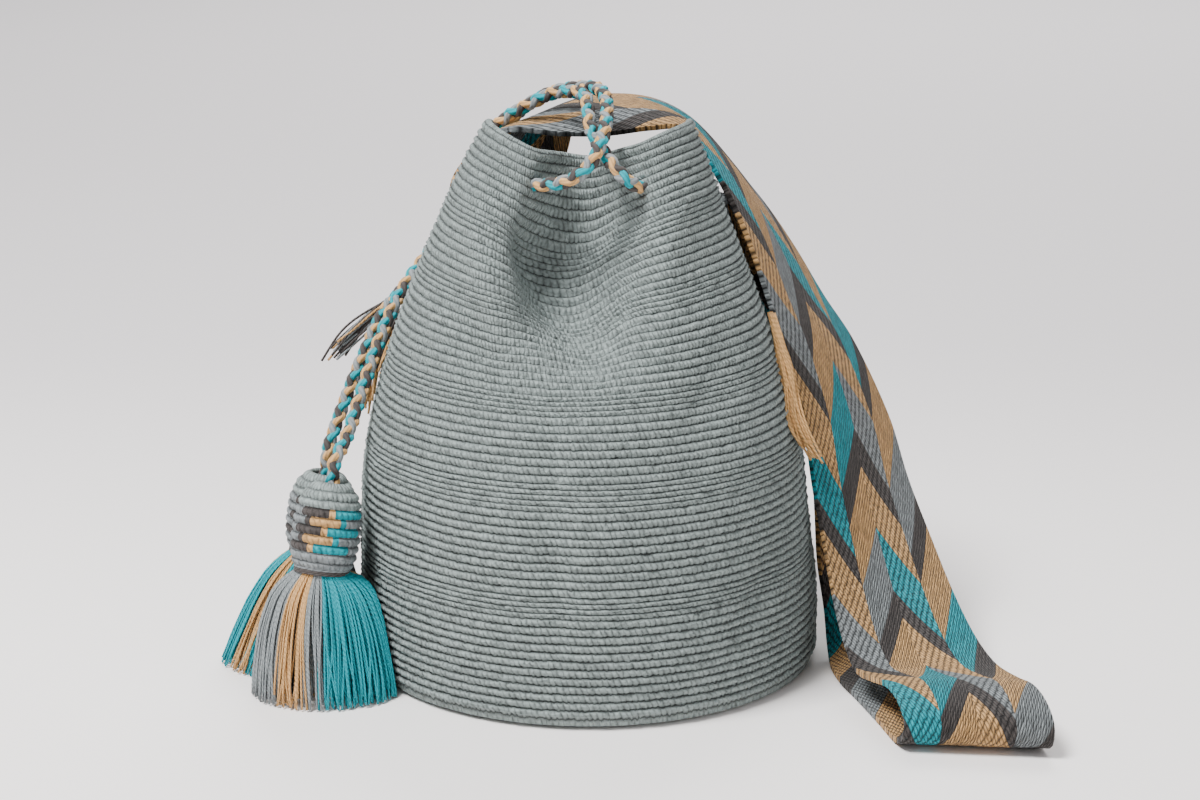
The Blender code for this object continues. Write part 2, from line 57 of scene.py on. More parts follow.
def addNode(tree, kind, settings=None, inputs=None):
    node = tree.nodes.new(kind)
    for key, value in (settings or {}).items():
        setattr(node, key, value)
    for key, value in (inputs or {}).items():
        if isinstance(value, bpy.types.NodeSocket):
            tree.links.new(value, node.inputs[key])
        else:
            node.inputs[key].default_value = value
    return node


def addHumps(tree, value, power):
    # round humps one unit apart: 0 between them and 1 on top, flatter where the power is small
    for operation, number in (("MULTIPLY", math.pi), ("SINE", 0.0), ("ABSOLUTE", 0.0), ("POWER", power)):
        value = addNode(tree, "ShaderNodeMath", {"operation": operation}, {0: value, 1: number}).outputs[0]
    return value


def newMaterial(name, roughness, sheen):
    material = bpy.data.materials.new(name)
    material.use_nodes = True
    tree = material.node_tree
    tree.nodes.clear()
    shader = addNode(tree, "ShaderNodeBsdfPrincipled", inputs={
        "Roughness": roughness, "Metallic": 0.0, "IOR": 1.53,
        "Sheen Weight": sheen, "Sheen Roughness": 0.5, "Specular IOR Level": 0.25,
    })
    addNode(tree, "ShaderNodeOutputMaterial", inputs={"Surface": shader.outputs[0]})
    return material, tree, shader


# shape of the bag, shared by everything that lies on it

bagForm = {
    "height": 0.298, "wall": 0.0045, "edgeHeight": 0.007, "edgeInset": 0.006,
    # height, half width, half depth, sideways lean
    "sections": [
        (0.000, 0.1260, 0.1265, 0.0005), (0.040, 0.1262, 0.1260, 0.0000), (0.080, 0.1235, 0.1225, -0.0022),
        (0.120, 0.1195, 0.1165, -0.0032), (0.160, 0.1095, 0.1060, -0.0038), (0.200, 0.0965, 0.0920, -0.0036),
        (0.250, 0.0765, 0.0690, -0.0028), (0.298, 0.0550, 0.0450, 0.0005),
    ],
    "pleatFrom": 0.150, "pleatDepth": 0.62, "pleatWidth": 0.34,
    "frontRimDrop": 0.018, "backRimDrop": 0.030, "rimDropFrom": 0.130,
    "rightLobe": 1.8, "frontDeeper": 1.16, "frontWidth": 0.40, "frontPower": 3.4, "middleBlend": 0.05,
    # the rows hang lower in the front valley, between these heights and around this place across the bag
    "valleySag": 0.012, "sagRise": (0.16, 0.245), "sagFall": (0.262, 0.300), "sagMiddle": -0.05, "sagWidth": 0.42,
}


def smoothStep(value, low, high):
    t = np.clip((value - low) / (high - low), 0, 1)
    return t * t * (3 - 2 * t)


def bagSection(height):
    table = np.array(bagForm["sections"])
    levels = table[:, 0]
    i = np.clip(np.searchsorted(levels, height, side="right") - 1, 0, len(levels) - 2)
    before, after = np.maximum(i - 1, 0), np.minimum(i + 2, len(levels) - 1)
    span = levels[i + 1] - levels[i]
    t = ((height - levels[i]) / span)[..., None]
    span = span[..., None]
    slopeLow = (table[i + 1] - table[before]) / (levels[i + 1] - levels[before])[..., None] * span
    slopeHigh = (table[after] - table[i]) / (levels[after] - levels[i])[..., None] * span
    values = (table[i] * (2 * t**3 - 3 * t**2 + 1) + slopeLow * (t**3 - 2 * t**2 + t)
              + table[i + 1] * (3 * t**2 - 2 * t**3) + slopeHigh * (t**3 - t**2))
    return values[..., 1], values[..., 2], values[..., 3]


def bagSurface(angle, height):
    angle, height = np.broadcast_arrays(np.asarray(angle, float), np.asarray(height, float))
    halfWidth, halfDepth, lean = bagSection(height)
    across, along = np.cos(angle), np.sin(angle)
    pleat = bagForm["pleatDepth"] * smoothStep(height, bagForm["pleatFrom"], bagForm["height"] + 0.02)
    backPleat = np.exp(-((across / bagForm["pleatWidth"]) ** 2))
    frontPleat = bagForm["frontDeeper"] * np.exp(-((np.abs(across) / bagForm["frontWidth"]) ** bagForm["frontPower"]))
    pulled = 1 - pleat * np.where(along < 0, frontPleat, backPleat)
    blend = bagForm["middleBlend"]
    fromEar = 1 - (np.sqrt(across**2 + blend) - math.sqrt(blend)) / (math.sqrt(1 + blend) - math.sqrt(blend))
    front = np.where(across > 0, fromEar ** bagForm["rightLobe"], fromEar)
    drop = np.where(along < 0, bagForm["frontRimDrop"] * front, bagForm["backRimDrop"] * np.sqrt(fromEar))
    drop = drop * smoothStep(height, bagForm["rimDropFrom"], bagForm["height"])
    sag = smoothStep(height, *bagForm["sagRise"]) * (1 - smoothStep(height, *bagForm["sagFall"]))
    sag = sag * np.exp(-((across - bagForm["sagMiddle"]) / bagForm["sagWidth"]) ** 2)
    drop = drop + bagForm["valleySag"] * sag * (along < 0)
    return np.stack([lean + halfWidth * across, halfDepth * along * pulled, height - drop], -1)


def bagPoint(degrees, height, out=0.0):
    angle, step = np.radians(degrees), 0.002
    roundWay = bagSurface(angle + step, height) - bagSurface(angle - step, height)
    upWay = bagSurface(angle, height + step) - bagSurface(angle, height - step)
    normal = np.cross(roundWay, upWay)
    normal = normal / np.linalg.norm(normal, axis=-1, keepdims=True)
    return bagSurface(angle, height) + normal * np.asarray(out)[..., None]


# tools shared by the pieces

def gridPiece(name, points, uv):
    # a flat grid, rolled or bent so that each of its corners lies at its point
    rows, columns = points.shape[:2]
    bpy.ops.object.select_all(action="DESELECT")
    bpy.ops.mesh.primitive_grid_add(x_subdivisions=columns - 1, y_subdivisions=rows - 1, size=1)
    piece = bpy.context.object
    piece.name = piece.data.name = name
    mesh = piece.data
    mesh.vertices.foreach_set("co", points.ravel())
    corners = np.zeros(len(mesh.loops), int)
    mesh.loops.foreach_get("vertex_index", corners)
    mesh.uv_layers[0].data.foreach_set("uv", uv.reshape(-1, 2)[corners].ravel())
    mesh.update()
    return piece


def paintFaces(mesh, colours, cornersPerFace=4):
    # one dye for each face, so a stitch is one colour to its edge
    layer = mesh.color_attributes.new("dye", "FLOAT_COLOR", "CORNER")
    values = np.ones((len(mesh.loops), 4))
    values[:, :3] = np.repeat(colours, cornersPerFace, axis=0)
    layer.data.foreach_set("color", values.ravel())


def selectOnly(piece):
    bpy.ops.object.select_all(action="DESELECT")
    piece.select_set(True)
    bpy.context.view_layer.objects.active = piece


def closeSeams(piece):
    selectOnly(piece)
    bpy.ops.object.mode_set(mode="EDIT")
    bpy.ops.mesh.select_all(action="SELECT")
    bpy.ops.mesh.remove_doubles(threshold=0.00001)
    bpy.ops.object.mode_set(mode="OBJECT")
    bpy.ops.object.shade_smooth()


def thicken(piece, thickness, offset):
    solidify = piece.modifiers.new("thickness", "SOLIDIFY")
    solidify.thickness, solidify.offset = thickness, offset
    selectOnly(piece)
    bpy.ops.object.modifier_apply(modifier="thickness")


def roundEdges(piece, width):
    bevel = piece.modifiers.new("edges", "BEVEL")
    bevel.width, bevel.segments, bevel.angle_limit = width, 3, math.radians(50)
    selectOnly(piece)
    bpy.ops.object.modifier_apply(modifier="edges")
    bpy.ops.object.shade_smooth()


def smoothPath(points, spacing):
    points = [np.asarray(p, float) for p in points]
    padded = [points[0] * 2 - points[1], *points, points[-1] * 2 - points[-2]]
    dense = []
    for a, b, c, d in zip(padded, padded[1:], padded[2:], padded[3:]):
        near = max(np.linalg.norm(c - b), 1e-6)
        m1 = (c - a) * near / (np.linalg.norm(b - a) + near)
        m2 = (d - b) * near / (np.linalg.norm(d - c) + near)
        for t in np.arange(16) / 16:
            dense.append(b * (2 * t**3 - 3 * t**2 + 1) + m1 * (t**3 - 2 * t**2 + t)
                         + c * (3 * t**2 - 2 * t**3) + m2 * (t**3 - t**2))
    dense = np.array([*dense, points[-1]])
    lengths = np.concatenate([[0], np.cumsum(np.linalg.norm(np.diff(dense, axis=0), axis=1))])
    marks = np.linspace(0, lengths[-1], max(2, round(lengths[-1] / spacing) + 1))
    return np.stack([np.interp(marks, lengths, dense[:, k]) for k in range(3)], -1)


def framesAlong(route):
    # forward, side and other direction at each point, turning no more than the route does
    ahead = np.gradient(route, axis=0)
    ahead /= np.linalg.norm(ahead, axis=1, keepdims=True)
    side = np.cross(ahead[0], (0.3, 0.2, 1.0))
    sides = []
    for way in ahead:
        side = side - way * side.dot(way)
        side = side / np.linalg.norm(side)
        sides.append(side)
    sides = np.array(sides)
    return ahead, sides, np.cross(ahead, sides)


def yarnPiece(name, strands, twist=0.005, sides=6):
    # strands are (route, radius, dye): round yarns with closed ends, their uv turning round and along them
    corners, faces, uvs, dyes, start = [], [], [], [], 0
    turns = np.arange(sides) * 2 * math.pi / sides
    for route, radius, dye in strands:
        route = np.asarray(route, float)
        _, side, other = framesAlong(route)
        count = len(route)
        radii = np.broadcast_to(np.asarray(radius, float), (count,))[:, None, None]
        rings = route[:, None] + radii * (
            np.cos(turns)[None, :, None] * side[:, None] + np.sin(turns)[None, :, None] * other[:, None])
        corners.append(rings.reshape(-1, 3))
        i, k = np.arange(count - 1)[:, None] * sides, np.arange(sides)[None, :]
        n = (k + 1) % sides
        quads = np.stack([i + k, i + n, i + n + sides, i + k + sides], -1).reshape(-1, 4) + start
        along = np.concatenate([[0], np.cumsum(np.linalg.norm(np.diff(route, axis=0), axis=1))]) / twist
        u0, u1 = np.tile(k / sides, (count - 1, 1)), np.tile((k + 1) / sides, (count - 1, 1))
        v0, v1 = np.tile(along[:-1, None], (1, sides)), np.tile(along[1:, None], (1, sides))
        uvs.append(np.stack([u0, v0, u1, v0, u1, v1, u0, v1], -1).reshape(-1, 2))
        faces += quads.tolist()
        faces.append(list(range(start + sides - 1, start - 1, -1)))
        faces.append(list(range(start + (count - 1) * sides, start + count * sides)))
        uvs.append(np.zeros((2 * sides, 2)))
        dyes.append(np.tile(np.asarray(dye), (len(quads) * 4 + 2 * sides, 1)))
        start += count * sides
    mesh = bpy.data.meshes.new(name)
    mesh.from_pydata(np.concatenate(corners).tolist(), [], faces)
    mesh.uv_layers.new(name="UVMap").data.foreach_set("uv", np.concatenate(uvs).ravel())
    paintFaces(mesh, np.concatenate(dyes), 1)
    mesh.shade_smooth()
    piece = bpy.data.objects.new(name, mesh)
    bpy.context.scene.collection.objects.link(piece)
    return piece


def dyed(name, spread=0.10):
    # yarn never takes its dye quite evenly
    return np.array(linear(yarnDyes[name])) * (1 + randomYarn.uniform(-spread, spread))


def finishPiece(piece, material, *nodes):
    piece.data.materials.clear()
    piece.data.materials.append(material)
    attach(piece, "root")
    if nodes:
        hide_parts(*nodes)


# materials

crochetLook = {
    "stitches": 260, "bump": 0.0019, "roughness": 0.92, "sheen": 0.06,
    # how dark the painted shade in the gaps between rows and the dips between stitches is, and where a dip starts and
    # ends
    "paintedGapShade": 0.20, "paintedDipShade": 0.48, "dipFrom": 0.1, "dipTo": 0.75,
    # how irregular the stitches are, and how far they push the rows' edges up and down
    "lumps": 1.15, "uneven": 0.45, "ragged": 0.34, "scallop": 0.16, "slant": 0.55, "wobble": 0.9,
    # fibres about 1 mm apart, coarser than real ones, and patches of paler and darker dye
    "fibreScale": 900.0, "fibre": 0.55, "mottleScale": 260.0, "palest": 1.16, "darkest": 0.80,
}


def crochetedCotton(name, dye, look):
    # single crochet in thick matt cotton: plump slanted stitches, with painted shade darkening the gaps between the
    # rows and the dips between stitches
    material, tree, shader = newMaterial(name, look["roughness"], look["sheen"])
    uv = addNode(tree, "ShaderNodeUVMap").outputs[0]
    parts = addNode(tree, "ShaderNodeSeparateXYZ", inputs={0: uv})
    row = addNode(tree, "ShaderNodeMath", {"operation": "FLOOR"}, {0: parts.outputs["Y"]}).outputs[0]
    inRow = addNode(tree, "ShaderNodeMath", {"operation": "FRACT"}, {0: parts.outputs["Y"]}).outputs[0]
    wobble = addNode(tree, "ShaderNodeTexNoise", inputs={"Vector": uv, "Scale": 0.9, "Detail": 2.0}).outputs[0]
    lean = addNode(tree, "ShaderNodeMath", {"operation": "MULTIPLY_ADD"},
                   {0: inRow, 1: look["slant"], 2: parts.outputs["X"]}).outputs[0]
    stagger = addNode(tree, "ShaderNodeMath", {"operation": "MULTIPLY_ADD"}, {0: row, 1: 0.5, 2: lean}).outputs[0]
    shifted = addNode(tree, "ShaderNodeMath", {"operation": "MULTIPLY_ADD"},
                      {0: wobble, 1: look["wobble"], 2: stagger}).outputs[0]
    even = addHumps(tree, shifted, 0.6)
    lumps = addNode(tree, "ShaderNodeTexVoronoi", {"feature": "SMOOTH_F1", "voronoi_dimensions": "2D"}, {
        "Vector": uv, "Scale": look["lumps"], "Smoothness": 0.35, "Randomness": 0.85}).outputs["Distance"]
    uneven = addNode(tree, "ShaderNodeMapRange", inputs={
        "Value": lumps, "From Min": 0.15, "From Max": 0.75, "To Min": 1.0, "To Max": 0.0}).outputs[0]
    stitch = addNode(tree, "ShaderNodeMix", inputs={0: look["uneven"], 2: even, 3: uneven}).outputs[0]
    ragged = addNode(tree, "ShaderNodeTexNoise", inputs={
        "Vector": uv, "Scale": 0.7, "Detail": 3.0, "Roughness": 0.7}).outputs[0]
    raggedRow = addNode(tree, "ShaderNodeMath", {"operation": "MULTIPLY_ADD"},
                        {0: ragged, 1: look["ragged"], 2: parts.outputs["Y"]}).outputs[0]
    levelRow = addNode(tree, "ShaderNodeMath", {"operation": "SUBTRACT"},
                       {0: raggedRow, 1: look["ragged"] / 2}).outputs[0]
    scallop = addNode(tree, "ShaderNodeMath", {"operation": "MULTIPLY_ADD"},
                      {0: stitch, 1: look["scallop"], 2: levelRow}).outputs[0]
    rope = addHumps(tree, scallop, 0.45)
    relief = addNode(tree, "ShaderNodeMath", {"operation": "MULTIPLY"}, {0: stitch, 1: rope}).outputs[0]
    coordinates = addNode(tree, "ShaderNodeTexCoord").outputs["Object"]
    fibre = addNode(tree, "ShaderNodeTexNoise", inputs={
        "Vector": coordinates, "Scale": look["fibreScale"], "Detail": 3.0}).outputs[0]
    mottle = addNode(tree, "ShaderNodeTexNoise", inputs={
        "Vector": coordinates, "Scale": look["mottleScale"], "Detail": 2.0}).outputs[0]
    height = addNode(tree, "ShaderNodeMath", {"operation": "MULTIPLY_ADD"},
                     {0: fibre, 1: look["fibre"], 2: relief}).outputs[0]
    bump = addNode(tree, "ShaderNodeBump", inputs={"Height": height, "Distance": look["bump"], "Strength": 0.9})
    # painted shade: the colour darkens in the gaps between rows and in the dips between stitches, and stitch tops are
    # painted a touch lighter
    gap = addNode(tree, "ShaderNodeMapRange", inputs={
        "Value": rope, "From Min": 0.30, "From Max": 0.78, "To Min": look["paintedGapShade"], "To Max": 1.0}).outputs[0]
    dipPaintedShade = addNode(tree, "ShaderNodeMapRange", inputs={
        "Value": stitch, "From Min": look["dipFrom"], "From Max": look["dipTo"],
        "To Min": look["paintedDipShade"], "To Max": 1.04}).outputs[0]
    shade = addNode(tree, "ShaderNodeMath", {"operation": "MULTIPLY"}, {0: gap, 1: dipPaintedShade}).outputs[0]
    tone = addNode(tree, "ShaderNodeMapRange", inputs={
        "Value": mottle, "From Min": 0.3, "From Max": 0.7,
        "To Min": look["darkest"], "To Max": look["palest"]}).outputs[0]
    both = addNode(tree, "ShaderNodeMath", {"operation": "MULTIPLY"}, {0: shade, 1: tone}).outputs[0]
    colour = linear(dye) if dye else addNode(tree, "ShaderNodeAttribute", {"attribute_name": "dye"}).outputs["Color"]
    tint = addNode(tree, "ShaderNodeVectorMath", {"operation": "SCALE"}, {0: colour, "Scale": both}).outputs[0]
    tree.links.new(tint, shader.inputs["Base Color"])
    tree.links.new(bump.outputs[0], shader.inputs["Normal"])
    return material


def twistedYarn(name, look):
    # two-ply cotton yarn: a soft sheen on each ply, with painted shade in the groove where the plies meet and the ply
    # crowns painted a little lighter
    material, tree, shader = newMaterial(name, look["roughness"], look["sheen"])
    uv = addNode(tree, "ShaderNodeUVMap").outputs[0]
    parts = addNode(tree, "ShaderNodeSeparateXYZ", inputs={0: uv})
    turned = addNode(tree, "ShaderNodeMath", {"operation": "MULTIPLY_ADD"},
                     {0: parts.outputs["X"], 1: look["plies"], 2: parts.outputs["Y"]}).outputs[0]
    ply = addHumps(tree, turned, 1.0)
    coordinates = addNode(tree, "ShaderNodeTexCoord").outputs["Object"]
    fibre = addNode(tree, "ShaderNodeTexNoise", inputs={
        "Vector": coordinates, "Scale": look["fibreScale"], "Detail": 2.0}).outputs[0]
    height = addNode(tree, "ShaderNodeMath", {"operation": "MULTIPLY_ADD"},
                     {0: fibre, 1: look["fibre"], 2: ply}).outputs[0]
    bump = addNode(tree, "ShaderNodeBump", inputs={"Height": height, "Distance": look["bump"], "Strength": 0.8})
    # painted shade: the colour darkens in the groove between the plies and is painted a little lighter on the ply
    # crowns
    shade = addNode(tree, "ShaderNodeMapRange", inputs={
        "Value": height, "From Min": 0.15, "From Max": 1.0, "To Min": look["paintedGapShade"], "To Max": 1.1}).outputs[0]
    colour = addNode(tree, "ShaderNodeAttribute", {"attribute_name": "dye"}).outputs["Color"]
    tint = addNode(tree, "ShaderNodeVectorMath", {"operation": "SCALE"}, {0: colour, "Scale": shade}).outputs[0]
    tree.links.new(tint, shader.inputs["Base Color"])
    tree.links.new(bump.outputs[0], shader.inputs["Normal"])
    return material


bodyCotton = crochetedCotton("crochetedCotton", yarnDyes["greyGreen"], crochetLook)
# the heads and the strap get the same painted shade in their row gaps and stitch dips, at their own strengths
headCotton = crochetedCotton("crochetedHeadCotton", None, {**crochetLook, "bump": 0.0012, "paintedGapShade": 0.35})
strapCotton = crochetedCotton("plySplitCotton", None, {
    **crochetLook, "bump": 0.0015, "paintedGapShade": 0.30, "paintedDipShade": 0.22, "uneven": 0.10, "ragged": 0.10,
    "scallop": 0.10, "dipFrom": 0.35, "dipTo": 0.98})
yarnLook = {
    "roughness": 0.85, "sheen": 0.05, "plies": 2.0, "bump": 0.0003, "paintedGapShade": 0.62,
    "fibreScale": 1400.0, "fibre": 0.3,
}
looseYarn = twistedYarn("twistedCottonYarn", yarnLook)
cordYarn = twistedYarn("braidedCotton", {**yarnLook, "roughness": 0.88, "plies": 4.0, "paintedGapShade": 0.72})
print("materials made")


# bag body: one crocheted shell from the middle of the base, up the wall, over the rim and down inside

bagFolds = [
    # paths over the front of the bag as (sideways, height), how deep each point lies and how wide the fold is
    (((-0.012, 0.270), (-0.020, 0.254), (-0.012, 0.232), (0.001, 0.208), (0.002, 0.180)),
     (0.009, 0.0200, 0.0160, 0.0070, 0.0010), 0.0165),
    (((0.036, 0.288), (0.042, 0.262), (0.036, 0.236), (0.024, 0.206), (0.014, 0.176)),
     (-0.0015, -0.0055, -0.0050, -0.0025, -0.0002), 0.0130),
    (((-0.052, 0.285), (-0.056, 0.255), (-0.050, 0.225), (-0.040, 0.205)),
     (-0.002, -0.0070, -0.0070, -0.0010), 0.0130),
    (((-0.066, 0.232), (-0.052, 0.196), (-0.042, 0.170)),
     (0.0010, 0.0050, 0.0015), 0.0140),
    (((-0.020, 0.185), (-0.019, 0.130), (-0.017, 0.070), (-0.014, 0.030)),
     (0.0012, 0.0026, 0.0026, 0.0005), 0.0085),
    (((0.006, 0.165), (0.008, 0.120), (0.008, 0.070)),
     (-0.0008, -0.0022, -0.0008), 0.0200),
    (((0.070, 0.205), (0.060, 0.165), (0.048, 0.125)),
     (0.0006, 0.0032, 0.0006), 0.0130),
    (((0.102, 0.088), (0.090, 0.060), (0.074, 0.034)),
     (0.0006, 0.0034, 0.0006), 0.0085),
    (((-0.100, 0.150), (-0.094, 0.100), (-0.082, 0.060)),
     (0.0006, 0.0030, 0.0006), 0.0150),
]


def foldDepth(points, heights):
    # how far the folds press the wall in (or out, where negative) at points of one ring
    depth = np.zeros(len(points))
    across, front = points[:, 0], points[:, 1] < 0
    for path, depths, width in bagFolds:
        nearest, value = np.full(len(points), 9.0), np.zeros(len(points))
        for (x0, h0), (x1, h1), d0, d1 in zip(path, path[1:], depths, depths[1:]):
            t = (across - x0) * (x1 - x0) + (heights - h0) * (h1 - h0)
            t = np.clip(t / ((x1 - x0) ** 2 + (h1 - h0) ** 2), 0, 1)
            away = np.hypot(across - x0 - t * (x1 - x0), heights - h0 - t * (h1 - h0))
            value = np.where(away < nearest, d0 + (d1 - d0) * t, value)
            nearest = np.minimum(nearest, away)
        depth += value * np.exp(-(nearest / width) ** 2)
    return depth * front


bodyLook = {
    "round": 236, "thickRow": 0.0045, "thinRow": 0.0029, "fullRow": 0.0045, "lump": 0.00034,
    "thinBands": (0.064, 0.123, 0.171, 0.2215, 0.258), "thinHalf": 0.0062,
    # place in the row, and how far the wall stands out there
    "profile": ((0.0, -0.0011), (0.22, 0.0002), (0.50, 0.0006), (0.78, 0.0001)),
    "baseRow": 0.0052, "baseRadius": 0.126, "baseDip": 0.0002, "baseGap": 0.0012,
}


def rowHeights():
    heights = np.linspace(bagForm["edgeHeight"], bagForm["height"], 900)
    line = bagSurface(np.radians(-60.0), heights)
    climb = np.concatenate([[0], np.cumsum(np.linalg.norm(np.diff(line, axis=0), axis=1))])
    marks = [0.0]
    while marks[-1] < climb[-1]:
        height = np.interp(marks[-1], climb, heights)
        thin = any(abs(height - band) < bodyLook["thinHalf"] for band in bodyLook["thinBands"])
        marks.append(marks[-1] + bodyLook["thinRow" if thin else "thickRow"])
    marks = np.array(marks) * climb[-1] / marks[-1]
    return np.interp(marks, climb, heights)


def makeBody():
    angles = np.linspace(0, 360, bodyLook["round"] + 1)
    lumpy = np.random.default_rng(5)
    radians = np.radians(angles)
    rings, rowMarks = [], []

    def flatRing(height, inset, row):
        halfWidth, halfDepth, lean = (float(v) for v in bagSection(np.array(0.0)))
        share = np.array([(halfWidth - inset) / halfWidth, (halfDepth - inset) / halfDepth])
        rings.append(np.stack([lean * share[0] + halfWidth * share[0] * np.cos(radians),
                               halfDepth * share[1] * np.sin(radians), np.full(len(radians), height)], -1))
        rowMarks.append(row)

    baseRadius, edgeInset = bodyLook["baseRadius"], bagForm["edgeInset"]
    baseRows = round((baseRadius - edgeInset) / bodyLook["baseRow"])
    for half in range(2 * baseRows + 1):
        inset = baseRadius - (baseRadius - edgeInset) * half / (2 * baseRows)
        flatRing(bodyLook["baseDip"] if half % 2 else bodyLook["baseGap"], inset, half / 2)
    flatRing(0.0022, edgeInset * 0.3, baseRows + 0.5)
    heights = rowHeights()
    row = baseRows + 1
    for low, high in zip(heights, heights[1:]):
        depth = min(1.0, (high - low) / bodyLook["fullRow"])
        for part, out in bodyLook["profile"]:
            height = low + (high - low) * part
            ring = bagPoint(angles, height, 0.0)
            lump = lumpy.normal(0, bodyLook["lump"], len(angles)) * (0.3 if part == 0 else 1.0)
            lump[-1] = lump[0]
            rings.append(bagPoint(angles, height, out * depth + lump - foldDepth(ring, height)))
            rowMarks.append(row + part)
        row += 1
    top, wall = heights[-1], bagForm["wall"]
    for rise, out in ((0.0, 0.0), (0.0012, -0.0010), (0.0015, -wall / 2), (0.0012, 0.001 - wall), (0.0, -wall)):
        rings.append(bagPoint(angles, top + rise, out - foldDepth(bagPoint(angles, top, 0.0), top)))
        rowMarks.append(row + (0.05 - out / wall) * 0.9)
    row += 1
    for low, high in zip(heights[::-1][1:-1], heights[::-1]):
        rings.append(bagPoint(angles, low, -wall - foldDepth(bagPoint(angles, low, 0.0), low)))
        rowMarks.append(row + 1.0)
        row += 1
    for part in np.linspace(0, 1, 9):
        inset = edgeInset + wall + part * (baseRadius - edgeInset - wall)
        flatRing(wall + 0.001 * (1 - part), inset, row + part * baseRows)
    points = np.array(rings)
    points[-1] = points[-1].mean(0)
    points[0] = points[0].mean(0)
    stitches = np.tile(angles / 360 * crochetLook["stitches"], (len(points), 1))
    uv = np.stack([stitches, np.tile(np.array(rowMarks)[:, None], (1, len(angles)))], -1)
    body = gridPiece("crochetedBag", points, uv)
    closeSeams(body)
    finishPiece(body, bodyCotton, "bag_body")
    print("bag body made,", len(heights) - 1, "rows,", len(body.data.polygons), "faces")
    return body


body = makeBody()


# shoulder strap: one ply-split band, its rows zigzagging in four columns of chevrons

strapForm = {
    "width": 0.075, "cells": 6, "leftAngle": 126.0, "rightAngle": 42.0, "endHeight": 0.206,
    "thickness": 0.0032, "underGap": 0.0034, "layer": 0.0064,
}
strapLook = {
    "columnStitches": 8, "yarnsPerStitch": 1.25, "rowStep": 0.0036, "zigzag": 0.036, "fade": 0.040,
    # length of one repeat of the bands, what each takes of it, where they start and how the outer columns lag
    "period": 0.0965, "beigeShare": 0.39, "darkShare": 0.215, "phase": 0.1185, "outerShift": 0.038,
    "roundEdge": 0.0013, "offFloor": 0.0002, "unevenDye": 0.12,
}


def onWall(degrees, height, out):
    towardsBack = -1.0 if degrees > 90 else 1.0
    cell = strapForm["width"] / strapForm["cells"]
    halves = []
    for way in (-towardsBack, towardsBack):
        turn, side = degrees, []
        for _ in range(strapForm["cells"] // 2):
            turn += way * cell / np.linalg.norm(bagPoint(turn + way, height, out) - bagPoint(turn, height, out))
            side.append(bagPoint(turn, height, out))
        halves.append(side)
    return np.array(halves[0][::-1] + [bagPoint(degrees, height, out)] + halves[1])


def inAir(centre, across, outward, crown):
    across, outward = np.array(across, float), np.array(outward, float)
    across /= np.linalg.norm(across)
    outward -= across * outward.dot(across)
    outward /= np.linalg.norm(outward)
    u = np.linspace(-0.5, 0.5, strapForm["cells"] + 1)[:, None]
    return np.array(centre) + across * (u * strapForm["width"]) - outward * (crown * (2 * u) ** 2)


